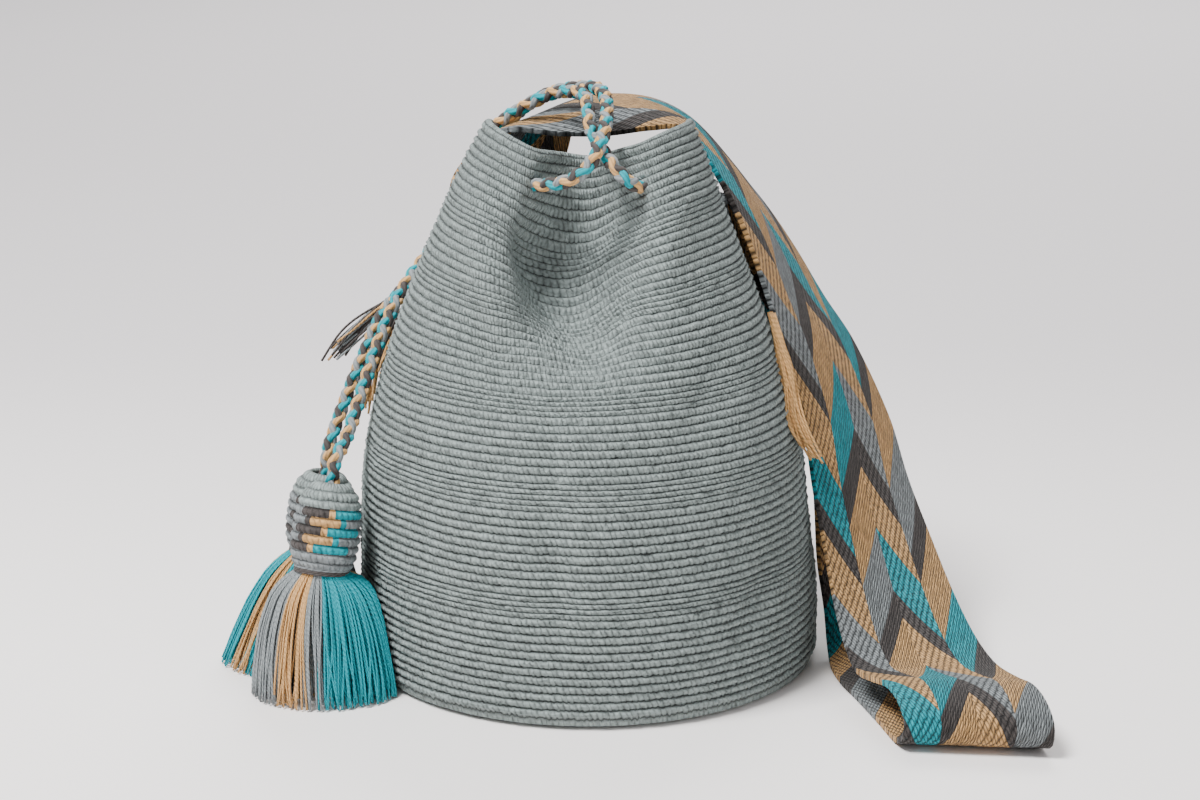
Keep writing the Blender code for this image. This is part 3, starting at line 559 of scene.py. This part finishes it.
def strapRows():
    under = strapForm["underGap"]
    over = under + strapForm["layer"]
    left, right, low = strapForm["leftAngle"], strapForm["rightAngle"], strapForm["endHeight"]
    down, up, side = (0, 0, -1), (0, 0, 1), (1.0, -0.6, 0.35)
    rows = [onWall(left, h, under) for h in (low, 0.218, 0.230, 0.242)]
    rows += [inAir(*row) for row in (
        ((-0.0480, 0.0590, 0.2620), (0.80, 0.60, 0.00), (-0.50, 0.70, 0.40), 0.0060),
        ((-0.0400, 0.0610, 0.2770), (0.70, 0.71, 0.00), (-0.45, 0.55, 0.60), 0.0040),
        ((-0.0290, 0.0610, 0.2900), (0.50, 0.87, 0.00), (-0.40, 0.30, 0.85), 0.0020),
        ((-0.0140, 0.0600, 0.2965), (0.15, 0.99, 0.05), (-0.30, 0.00, 0.95), 0.0080),
        ((0.0080, 0.0605, 0.3005), (-0.03, 1.00, 0.09), up, 0.0105),
        ((0.0350, 0.0635, 0.2985), (0.00, 1.00, 0.03), (0.20, 0.00, 1.00), 0.0080),
        ((0.0560, 0.0640, 0.2885), (0.08, 0.99, -0.10), (0.60, 0.00, 0.80), 0.0040),
        ((0.0765, 0.0570, 0.2665), (0.17, 0.97, -0.14), (0.75, -0.10, 0.60), 0.0040),
        ((0.0922, 0.0475, 0.2430), (0.27, 0.95, -0.15), side, 0.0030),
        ((0.1052, 0.0400, 0.2200), (0.36, 0.92, -0.15), side, 0.0030),
        ((0.1177, 0.0330, 0.1940), (0.46, 0.87, -0.16), side, 0.0030),
        ((0.1300, 0.0260, 0.1700), (0.57, 0.80, -0.16), side, 0.0030),
        ((0.1450, 0.0180, 0.1280), (0.69, 0.71, -0.16), side, 0.0020),
        ((0.1515, 0.0050, 0.0960), (0.76, 0.63, -0.16), (1.0, -1.0, 0.2), 0.0010),
        ((0.1590, -0.0150, 0.0670), (0.84, 0.52, -0.14), (0.6, -1.0, 0.3), 0.0000),
        ((0.1660, -0.0390, 0.0430), (0.91, 0.40, -0.10), (0.3, -1.0, 0.6), 0.0000),
        ((0.1725, -0.0640, 0.0265), (0.96, 0.26, -0.05), (0.1, -0.8, 0.8), 0.0000),
        ((0.1785, -0.0860, 0.0195), (0.99, 0.10, 0.00), (0.0, -0.2, 1.0), 0.0000),
        ((0.1855, -0.1060, 0.0220), (1.00, 0.00, 0.00), (0.0, 0.1, 1.0), 0.0010),
        ((0.1905, -0.1270, 0.0268), (1.00, -0.05, 0.00), (0.0, 0.1, 1.0), 0.0015),
        ((0.1940, -0.1450, 0.0248), (1.00, -0.09, 0.00), (0.0, -0.3, 0.9), 0.0010),
        ((0.1962, -0.1580, 0.0170), (1.00, -0.10, 0.00), (0.0, -1.0, 0.3), 0.0000),
        ((0.1955, -0.1580, 0.0078), (1.00, -0.10, 0.00), (0.0, -1.0, -0.5), 0.0000),
        ((0.1930, -0.1440, 0.0022), (1.00, -0.07, 0.00), down, 0.0000),
        ((0.1870, -0.1150, 0.0021), (1.00, -0.04, 0.00), down, 0.0000),
        ((0.1800, -0.0850, 0.0021), (1.00, 0.00, 0.00), down, 0.0000),
        ((0.1730, -0.0550, 0.0021), (1.00, 0.10, 0.00), down, 0.0000),
        ((0.1690, -0.0250, 0.0022), (0.96, 0.26, 0.00), down, 0.0000),
        ((0.1670, -0.0030, 0.0070), (0.91, 0.40, 0.00), (0.0, 0.4, -1.0), 0.0000),
        ((0.1640, 0.0120, 0.0230), (0.86, 0.50, -0.05), (-0.4, 1.0, -0.5), 0.0000),
        ((0.1570, 0.0200, 0.0470), (0.78, 0.62, -0.10), (-0.6, 1.0, -0.2), 0.0000),
        ((0.1494, 0.0300, 0.0780), (0.64, 0.76, -0.10), (-0.8, 0.8, -0.2), 0.0010),
        ((0.1368, 0.0430, 0.1110), (0.38, 0.92, -0.10), (-1.0, 0.5, -0.3), 0.0015),
        ((0.1160, 0.0560, 0.1440), (0.00, 1.00, -0.08), (-1.0, 0.0, -0.4), 0.0005),
        ((0.0955, 0.0620, 0.1740), (-0.35, 0.93, -0.05), (-1.0, -0.5, -0.4), -0.0030),
    )]
    rows += [onWall(right, h, over) for h in (0.206, 0.222, 0.238, 0.250)]
    rows += [onWall(right, 0.2580, (under + over) / 2)]
    rows += [onWall(right, h, under) for h in (0.250, 0.238, 0.222, low)]
    return rows


def strapSurface():
    # fine rows of the middle surface, with the distance of each along the strap
    rows = strapRows()
    rows = [rows[0] * 2 - rows[1], *rows, rows[-1] * 2 - rows[-2]]
    middle = strapForm["cells"] // 2
    finer = []
    for a, b, c, d in zip(rows, rows[1:], rows[2:], rows[3:]):
        near, span, far = (np.linalg.norm(q[middle] - p[middle]) for p, q in ((a, b), (b, c), (c, d)))
        for t in np.arange(max(1, round(span / 0.003))) / max(1, round(span / 0.003)):
            slopeLow, slopeHigh = (c - a) * span / (near + span), (d - b) * span / (span + far)
            finer.append(b * (2 * t**3 - 3 * t**2 + 1) + slopeLow * (t**3 - 2 * t**2 + t)
                         + c * (3 * t**2 - 2 * t**3) + slopeHigh * (t**3 - t**2))
    finer = np.array([*finer, rows[-2]])
    distance = np.concatenate([[0], np.cumsum(np.linalg.norm(np.diff(finer[:, middle], axis=0), axis=1))])
    return finer, distance


strapGrid, strapDistance = strapSurface()


def strapPoints(along, share):
    # points of the middle surface at distances along the strap and shares (0 to 1) of its width
    along, share = np.broadcast_arrays(np.asarray(along, float), np.asarray(share, float))
    cells = strapForm["cells"]
    i = np.clip((share * cells).astype(int), 0, cells - 1)
    t = (share * cells - i)[..., None]
    columns = [np.stack([np.interp(along, strapDistance, strapGrid[:, c, k]) for k in range(3)], -1)
               for c in range(cells + 1)]
    columns = np.stack([2 * columns[0] - columns[1], *columns, 2 * columns[-1] - columns[-2]])
    a, b, c, d = (np.take_along_axis(columns, (i + n)[None, ..., None], 0)[0] for n in range(4))
    return (b * (2 * t**3 - 3 * t**2 + 1) + (c - a) / 2 * (t**3 - 2 * t**2 + t)
            + c * (3 * t**2 - 2 * t**3) + (d - b) / 2 * (t**3 - t**2))


def bandDye(rowPlace, column):
    # down each column the bands run beige, teal or grey, dark, and the inner and outer columns are out of step
    look = strapLook
    place = rowPlace - look["phase"] - (look["outerShift"] if column in (0, 3) else 0)
    repeat, share = divmod(place / look["period"], 1)
    if share < look["beigeShare"]:
        return "beige"
    if share > 1 - look["darkShare"]:
        return "dark"
    return "teal" if (int(repeat) + (column > 1)) % 2 == 0 else "grey"


def makeStrap():
    look = strapLook
    across = 4 * look["columnStitches"]
    length = strapDistance[-1]
    rows = int(length / look["rowStep"])
    share = np.linspace(0, 1, across + 1)
    place = np.linspace(0, length, rows + 1)
    column = share * 4
    fromMiddle = np.abs(column - 2)
    zigzag = look["zigzag"] * np.where(fromMiddle < 1, fromMiddle, 1 - np.clip(fromMiddle - 1, 0, 1))
    fade = smoothStep(np.minimum(place, length - place), 0.0, look["fade"])
    along = np.clip(place[:, None] + (zigzag[None, :] - look["zigzag"] / 2) * fade[:, None], 0, length)
    points = strapPoints(along, np.tile(share, (rows + 1, 1)))
    points[..., 2] = np.maximum(points[..., 2], strapForm["thickness"] / 2 + look["offFloor"])
    points = points[:, ::-1]
    stitch = np.arange(across + 1)[::-1]
    yarnPlaces, rowPlaces = stitch[None, :] * look["yarnsPerStitch"], np.arange(rows + 1)[:, None] * 1.0
    uv = np.stack(np.broadcast_arrays(yarnPlaces, rowPlaces), -1)
    strap = gridPiece("wovenStrap", points, np.ascontiguousarray(uv))
    colours = []
    for j in range(rows):
        for c in range(across):
            band = bandDye(place[j] - look["zigzag"] / 2, int(stitch[c + 1] // look["columnStitches"]))
            colours.append(dyed(band, look["unevenDye"]))
    paintFaces(strap.data, np.array(colours))
    strap.data.shade_smooth()
    thicken(strap, strapForm["thickness"], 0)
    roundEdges(strap, look["roundEdge"])
    finishPiece(strap, strapCotton, "shoulder_strap")
    print("strap made,", len(strap.data.polygons), "faces")


makeStrap()


# drawstring: a round four-strand braid through four eyelets, with a tassel at each end

tasselForm = {
    # top and bottom of each crocheted head, then the foot of its skirt and how far that spreads
    "front": {"head": ((-0.1365, -0.0500, 0.1125), (-0.1425, -0.0600, 0.0665)),
              "foot": (-0.1405, -0.0690, 0.0), "spread": (0.040, 0.031)},
    "rear": {"head": ((-0.1440, -0.0150, 0.1080), (-0.1500, -0.0175, 0.0640)),
             "foot": (-0.1690, -0.0190, 0.0), "spread": (0.035, 0.033)},
    "headRadius": 0.0185, "headWall": 0.0026, "gap": 0.0030, "neck": 0.80,
    # place from the foot of the head to its top, and the share of its radius there
    "profile": ((0.0, 0.80), (0.10, 0.94), (0.35, 1.0), (0.62, 0.98), (0.82, 0.84), (0.94, 0.62), (1.0, 0.34)),
    "headRows": 10, "headStitches": 34, "strands": 640, "yarnRadius": 0.00055,
    # place down the skirt, and the share of its spread there
    "flare": ((0, 0.40), (0.08, 0.53), (0.18, 0.68), (0.32, 0.79), (0.47, 0.87), (0.68, 0.94), (0.84, 0.98), (1, 1)),
    # sectors of dye round each skirt, in degrees
    "frontDyes": ((171, 231, "grey"), (231, 255, "beige"), (255, 272, "grey"), (272, 380, "teal"),
                  (380, 430, "beige"), (430, 531, "dark")),
    "rearDyes": ((150, 172, "beige"), (172, 212, "teal"), (212, 232, "beige"), (232, 330, "teal"),
                 (330, 400, "grey"), (400, 510, "dark")),
}
cordForm = {
    "diameter": 0.0065, "strandRadius": 0.0019, "braidRadius": 0.0018, "overUnder": 0.00045,
    "pitch": 0.0190, "step": 0.0013,
}


def headAxes(side):
    top, bottom = (np.array(p) for p in tasselForm[side]["head"])
    axis = (top - bottom) / np.linalg.norm(top - bottom)
    across = np.cross(axis, (0.0, 1.0, 0.0))
    across /= np.linalg.norm(across)
    return top, bottom, axis, across, np.cross(axis, across)


def drawstringRoute():
    overStrap = 0.00935
    rearTop, _, rearWay, _, _ = headAxes("rear")
    frontTop, _, frontWay, _, _ = headAxes("front")
    frontLeft, frontRight = (-0.0220, -0.0432, 0.2705), (0.0275, -0.0445, 0.2695)
    backRight, backLeft = (0.0272, 0.0385, 0.2670), (-0.0278, 0.0385, 0.2670)
    return [
        rearTop - rearWay * 0.006, rearTop + rearWay * 0.004, rearTop + rearWay * 0.012,
        (-0.1345, 0.0010, 0.1420), (-0.1240, 0.0110, 0.1670), (-0.1120, 0.0240, 0.1900),
        bagPoint(143.0, 0.2200, overStrap + 0.0022), bagPoint(133.0, 0.2480, overStrap + 0.0034),
        # over the mouth and down the left of the front pleat
        (-0.0535, 0.0590, 0.2750), (-0.0460, 0.0550, 0.2870), (-0.0350, 0.0520, 0.2980),
        (-0.0215, 0.0475, 0.3060), (-0.0075, 0.0365, 0.3105), (0.0045, 0.0180, 0.3125),
        (0.0092, -0.0020, 0.3095), (0.0095, -0.0200, 0.3035), (0.0080, -0.0360, 0.2965),
        (0.0045, -0.0475, 0.2885), (-0.0015, -0.0535, 0.2805), (-0.0100, -0.0530, 0.2745), frontLeft,
        # inside the left ear, across the back and inside the right ear
        (-0.0340, -0.0315, 0.2690), (-0.0475, -0.0205, 0.2710), (-0.0525, -0.0020, 0.2720),
        (-0.0485, 0.0175, 0.2705), (-0.0350, 0.0280, 0.2680), backLeft,
        (-0.0110, 0.0475, 0.2665), (0.0000, 0.0485, 0.2665), (0.0110, 0.0475, 0.2665), backRight,
        (0.0345, 0.0275, 0.2680), (0.0475, 0.0175, 0.2705), (0.0525, -0.0020, 0.2720),
        (0.0480, -0.0190, 0.2710), (0.0375, -0.0325, 0.2690), frontRight,
        # up the right of the pleat, back over the mouth and down to the front tassel
        (0.0190, -0.0525, 0.2755), (0.0130, -0.0490, 0.2815), (0.0085, -0.0400, 0.2860),
        (0.0045, -0.0310, 0.2910), (0.0010, -0.0220, 0.2975), (-0.0005, -0.0080, 0.3050),
        (-0.0025, 0.0070, 0.3100), (-0.0095, 0.0200, 0.3105), (-0.0200, 0.0300, 0.3080),
        (-0.0325, 0.0355, 0.3015), (-0.0450, 0.0420, 0.2935), (-0.0560, 0.0475, 0.2820),
        (-0.0680, 0.0500, 0.2620), bagPoint(147.0, 0.2300, overStrap + 0.0030),
        (-0.1035, 0.0190, 0.2000), (-0.1140, 0.0005, 0.1780), (-0.1225, -0.0175, 0.1540),
        (-0.1300, -0.0360, 0.1320), frontTop + frontWay * 0.010,
        frontTop + frontWay * 0.003, frontTop - frontWay * 0.006,
    ]


def makeCord():
    route = smoothPath(drawstringRoute(), cordForm["step"])
    _, side, other = framesAlong(route)
    place = np.arange(len(route)) * cordForm["step"]
    strands = []
    for number, dye in enumerate(("teal", "dark", "beige", "grey")):
        way = 1 if number % 2 == 0 else -1
        turn = way * place / cordForm["pitch"] * 2 * math.pi + number * math.pi / 2 + 0.6
        reach = cordForm["braidRadius"] + cordForm["overUnder"] * way * np.cos(2 * turn)
        strands.append((route + reach[:, None] * (np.cos(turn)[:, None] * side + np.sin(turn)[:, None] * other),
                        cordForm["strandRadius"], dyed(dye, 0.03)))
    cord = yarnPiece("braidedDrawstring", strands, twist=0.006, sides=7)
    finishPiece(cord, cordYarn, "drawstring")
    print("drawstring made,", round((len(route) - 1) * cordForm["step"], 3), "m")
    return cord, route


def brickDye(row, stitch):
    # plain rows at the foot and the top, and between them bricks that step to the left going down
    if row < 2 or row > 6:
        return "grey" if row < 2 else "greyGreen"
    place = (stitch - row * 3 // 4) % 17
    if row % 2 == 0:
        return "dark" if place < 5 else "beige" if place < 6 else "teal" if place < 12 else "grey"
    return "grey" if place < 2 else "dark" if place < 3 else "beige" if place < 8 else "teal" if place < 9 else "grey"


def makeHead(side):
    form = tasselForm
    top, bottom, _, across, other = headAxes(side)
    rows, stitches = form["headRows"], form["headStitches"]
    marks, radii = np.array(form["profile"]).T
    turns = np.linspace(0, 2 * math.pi, stitches * 3 + 1)
    rings, uvRows = [], []
    for row in range(rows):
        for part, out in ((0.0, -0.0009), (0.22, 0.0001), (0.5, 0.0006), (0.78, 0.0002)):
            place = (row + part) / rows
            radius = np.interp(place, marks, radii) * form["headRadius"] - 0.0004
            bulge = out * (1 if place < 0.9 else 0.5) + 0.0002 * np.cos(turns * stitches)
            rings.append(bottom + (top - bottom) * place + (radius + bulge)[:, None] * (
                np.cos(turns)[:, None] * across + np.sin(turns)[:, None] * other))
            uvRows.append(row + part)
    stitchPlaces = turns / (2 * math.pi) * stitches
    uv = np.stack(np.broadcast_arrays(stitchPlaces[None, :], np.array(uvRows)[:, None]), -1)
    head = gridPiece(side + "TasselHead", np.array(rings), np.ascontiguousarray(uv))
    colours = []
    plain = {name: linear(yarnDyes[name]) for name in yarnDyes}
    for j in range(len(rings) - 1):
        for k in range(stitches * 3):
            shade = 0.92 + 0.16 * ((j // 4 * 7 + k // 3 * 5) % 9) / 8
            colours.append(np.array(plain[brickDye(j // 4, k // 3)]) * shade)
    paintFaces(head.data, np.array(colours))
    closeSeams(head)
    thicken(head, form["headWall"], -1)
    finishPiece(head, headCotton, side + "_tassel_head")
    return head


def keepClear(x, y, height, frontSide):
    # a strand stays out of the bag's wall and off the other tassel's side of the two fans
    reach = float(bagSection(np.array(max(height, 0.0)))[0]) + tasselForm["gap"]
    distance = math.hypot(x, y)
    if distance < reach:
        x, y = x * reach / distance, y * reach / distance
    divide = -0.0345 + 0.20 * (x + 0.140) - 0.010 * (1.0 - height / 0.10)
    return (x, min(y, divide - 0.0005)) if frontSide else (x, max(y, divide + 0.0005))


def skirtDye(side, degrees):
    for low, high, name in tasselForm[side + "Dyes"]:
        if low <= degrees < high or low <= degrees + 360 < high:
            return name
    return "teal"


def makeSkirt(side):
    form = tasselForm[side]
    top, bottom, _, across, other = headAxes(side)
    foot = np.array(form["foot"])
    neck = tasselForm["headRadius"] * tasselForm["neck"] - tasselForm["headWall"] - 0.0006
    flarePlaces, flareShares = zip(*tasselForm["flare"])
    strands = []
    count = tasselForm["strands"]
    for number in range(count):
        degrees = (number * 137.508) % 360
        layer = 1.0 - 0.80 * (randomYarn.random() ** 2.6)
        turn = math.radians(degrees)
        way = np.array([math.cos(turn), math.sin(turn)])
        spin = across * way[0] + other * way[1]
        flat = spin[:2] / np.linalg.norm(spin[:2])
        heading = math.degrees(math.atan2(flat[1], flat[0])) % 360 + randomYarn.gauss(0, 2)
        drift, bend = randomYarn.gauss(0, 0.0022), randomYarn.uniform(0, 2 * math.pi)
        short = randomYarn.choice((1.0, 1.0, 0.985, 0.97, 0.95, 0.90))
        route = [bottom + (top - bottom) * inside + spin * neck * layer for inside in (0.30, 0.02)]
        for share in np.linspace(0.10, 1.0, 11):
            share = share * short
            wide = np.interp(share, flarePlaces, flareShares)
            height = max(bottom[2] * (1 - share), 0.0009)
            centre = bottom + (foot - bottom) * share
            wander = drift * share * math.sin(bend + share * 3.2)
            x = centre[0] + flat[0] * form["spread"][0] * wide * layer - flat[1] * wander
            y = centre[1] + flat[1] * form["spread"][1] * wide * layer + flat[0] * wander
            x, y = keepClear(x, y, height, side == "front")
            route.append(np.array([x, y, height]))
        dye = dyed(skirtDye(side, heading % 360), 0.12)
        strands.append((smoothPath(route, 0.006), tasselForm["yarnRadius"], dye))
    skirt = yarnPiece(side + "TasselSkirt", strands, twist=0.0028, sides=5)
    finishPiece(skirt, looseYarn, side + "_tassel_skirt")
    return skirt


def makeNeckBinding(side):
    top, bottom, _, across, other = headAxes(side)
    strands = []
    for low, turnsRound, dye, radius in ((-0.045, 2.2, "dark", 0.00085), (0.005, 1.4, "grey", 0.0010)):
        turn = np.linspace(0, turnsRound * 2 * math.pi, int(40 * turnsRound))
        place = low + 0.022 * turn / (2 * math.pi)
        reach = tasselForm["headRadius"] * tasselForm["neck"] - 0.0006
        spin = np.cos(turn)[:, None] * across + np.sin(turn)[:, None] * other
        route = bottom + (top - bottom) * place[:, None] + reach * spin
        strands.append((route, radius, dyed(dye)))
    binding = yarnPiece(side + "TasselBinding", strands, twist=0.004, sides=6)
    finishPiece(binding, looseYarn)
    return binding


cord, cordRoute = makeCord()
tasselPieces = [make(side) for side in ("front", "rear") for make in (makeHead, makeSkirt, makeNeckBinding)]
print("tassels made")


# loose warp ends below the strap's sewn ends, and the stitches that hold those ends

fringeLook = {"yarnRadius": 0.0007, "shortest": 0.78, "stray": 0.0004}


def makeFringe(name, node, bundles):
    # each bundle is (the line its middle strand takes, how many strands, their dyes, how far they spread)
    strands = []
    for middle, strandCount, dyes, spread in bundles:
        for number in range(strandCount):
            angle = number * 2.399
            reach = spread * math.sqrt((number + 0.5) / strandCount)
            shift = np.array([math.cos(angle) * reach, math.sin(angle) * reach * 0.5, 0.0])
            cut = randomYarn.uniform(fringeLook["shortest"], 1.0)
            route = []
            for i, p in enumerate(middle):
                stray = [randomYarn.gauss(0, fringeLook["stray"] * (1 + i)) for _ in range(3)]
                route.append(np.array(p, float) + shift * (0.35 + 0.8 * i / len(middle)) + np.array(stray))
            route = smoothPath(route, 0.003)
            route = route[:max(4, int(len(route) * cut))]
            strands.append((route, fringeLook["yarnRadius"], dyed(dyes[number % len(dyes)], 0.14)))
    fringe = yarnPiece(name, strands, twist=0.003, sides=5)
    finishPiece(fringe, looseYarn, node)


def makeStitching(name, node, degrees):
    # short loops of body yarn over the strap's edge and into the wall
    halfTurn = math.degrees((strapForm["width"] / 2 + 0.0055) / (float(bagSection(np.array(0.23))[0]) + 0.0036))
    foot = strapForm["endHeight"] - 0.0030
    sides = [(-halfTurn * 1.06, 0.240), (-halfTurn, 0.222), (-halfTurn * 0.96, foot + 0.004)]
    turns = sides + [(-halfTurn * 0.85, foot), (0.0, foot), (halfTurn * 0.85, foot)]
    turns += [(-a, h) for a, h in reversed(sides)]
    centre = bagPoint(degrees, 0.224, 0.006)
    line = smoothPath([bagPoint(degrees + a, h, 0.0022) for a, h in turns], 0.0042)
    strands = []
    for start, end in zip(line, line[1:]):
        inward = centre - start
        inward = inward / np.linalg.norm(inward)
        out = bagPoint(degrees, 0.224, 0.007) - bagPoint(degrees, 0.224, 0.006)
        out = out / np.linalg.norm(out)
        loop = [start - inward * 0.0012 - out * 0.0006, start + inward * 0.0012 + out * 0.0016,
                (start + end) / 2 + inward * 0.0042 + out * 0.0016]
        strands.append((smoothPath(loop, 0.0012), 0.0009, dyed("greyGreen")))
    stitching = yarnPiece(name, strands, twist=0.003, sides=6)
    finishPiece(stitching, looseYarn, node)


makeFringe("leftFringe", "strap_fringe_left", [
    ([bagPoint(158.0, 0.1960, 0.0040), bagPoint(160.0, 0.1820, 0.0055),
      bagPoint(163.0, 0.1640, 0.0060), bagPoint(166.0, 0.1450, 0.0060)],
     26, ("dark", "grey", "dark", "beige"), 0.0050),
    ([bagPoint(153.0, 0.2000, 0.0040),
      (-0.1125, 0.0420, 0.1880), (-0.1310, 0.0420, 0.1730), (-0.1470, 0.0400, 0.1550)],
     34, ("dark", "grey", "dark", "beige", "grey", "dark"), 0.0075),
    ([bagPoint(155.0, 0.1960, 0.0050),
      (-0.1150, 0.0370, 0.1700), (-0.1230, 0.0350, 0.1480), (-0.1260, 0.0340, 0.1260)],
     24, ("beige",), 0.0045),
    ([bagPoint(151.0, 0.2060, 0.0050),
      (-0.1050, 0.0400, 0.1970), (-0.1105, 0.0390, 0.1900), (-0.1135, 0.0380, 0.1820)],
     12, ("teal",), 0.0045)])
makeFringe("rightFringe", "strap_fringe_right", [
    ([bagPoint(-2.0, 0.1920, 0.0032), bagPoint(-7.0, 0.1790, 0.0034), bagPoint(-10.0, 0.1620, 0.0036),
      bagPoint(-14.0, 0.1370, 0.0040), (0.1255, -0.0290, 0.1130)],
     26, ("beige",), 0.0040)])
makeStitching("leftStitching", "strap_seam_left", strapForm["leftAngle"])
makeStitching("rightStitching", "strap_seam_right", strapForm["rightAngle"])
print("fringes and stitching made")


# studio: pale floor, big soft lamps and the camera

studio = {
    "floor": "#f6f2f0", "wall": "#d8d4d5", "sweep": (-3.05, -2.2), "world": "#e6e4e6", "worldStrength": 0.54,
    # place, what it points at, size and power of each lamp
    "lamps": {
        "keyLamp": ((-0.85, -0.6, 2.1), (0.0, 0.0, 0.12), 0.8, 108.0),
        "fillLamp": ((1.8, -1.6, 1.0), (0.0, 0.0, 0.12), 1.6, 14.0),
        "backLamp": ((0.6, 3.4, 3.0), (0.3, 3.2, 0.0), 2.6, 190.0),
    },
    "cameraPlace": (0.006, -1.354, 0.50), "cameraTilt": 90 - 14.75, "lens": 76.5, "sensor": 36,
}


def makeStudio():
    bpy.ops.object.select_all(action="DESELECT")
    bpy.ops.mesh.primitive_plane_add(size=14, location=(0, 3, 0))
    floor = bpy.context.object
    floor.name = "floor"
    material, tree, shader = newMaterial("paintedBoard", 0.7, 0.0)
    coordinates = addNode(tree, "ShaderNodeTexCoord").outputs["Object"]
    parts = addNode(tree, "ShaderNodeSeparateXYZ", inputs={0: coordinates})
    away = addNode(tree, "ShaderNodeMapRange", {"interpolation_type": "SMOOTHSTEP"}, {
        "Value": parts.outputs["Y"], "From Min": studio["sweep"][0], "From Max": studio["sweep"][1]}).outputs[0]
    colour = addNode(tree, "ShaderNodeMixRGB", inputs={
        "Fac": away, "Color1": (*linear(studio["floor"]), 1), "Color2": (*linear(studio["wall"]), 1)})
    tree.links.new(colour.outputs[0], shader.inputs["Base Color"])
    floor.data.materials.append(material)
    for name, (place, target, size, power) in studio["lamps"].items():
        bpy.ops.object.light_add(type="AREA", location=place)
        lamp = bpy.context.object
        lamp.name = name
        lamp.data.size, lamp.data.energy = size, power
        lamp.rotation_euler = (Vector(target) - Vector(place)).to_track_quat("-Z", "Y").to_euler()
    world = bpy.data.worlds.new("studioAir")
    world.use_nodes = True
    world.node_tree.nodes["Background"].inputs["Color"].default_value = (*linear(studio["world"]), 1)
    world.node_tree.nodes["Background"].inputs["Strength"].default_value = studio["worldStrength"]
    bpy.context.scene.world = world


def makeCamera():
    bpy.ops.object.camera_add(location=studio["cameraPlace"], rotation=(math.radians(studio["cameraTilt"]), 0, 0))
    camera = bpy.context.object
    camera.data.lens, camera.data.sensor_width = studio["lens"], studio["sensor"]
    bpy.context.scene.camera = camera


makeStudio()
makeCamera()
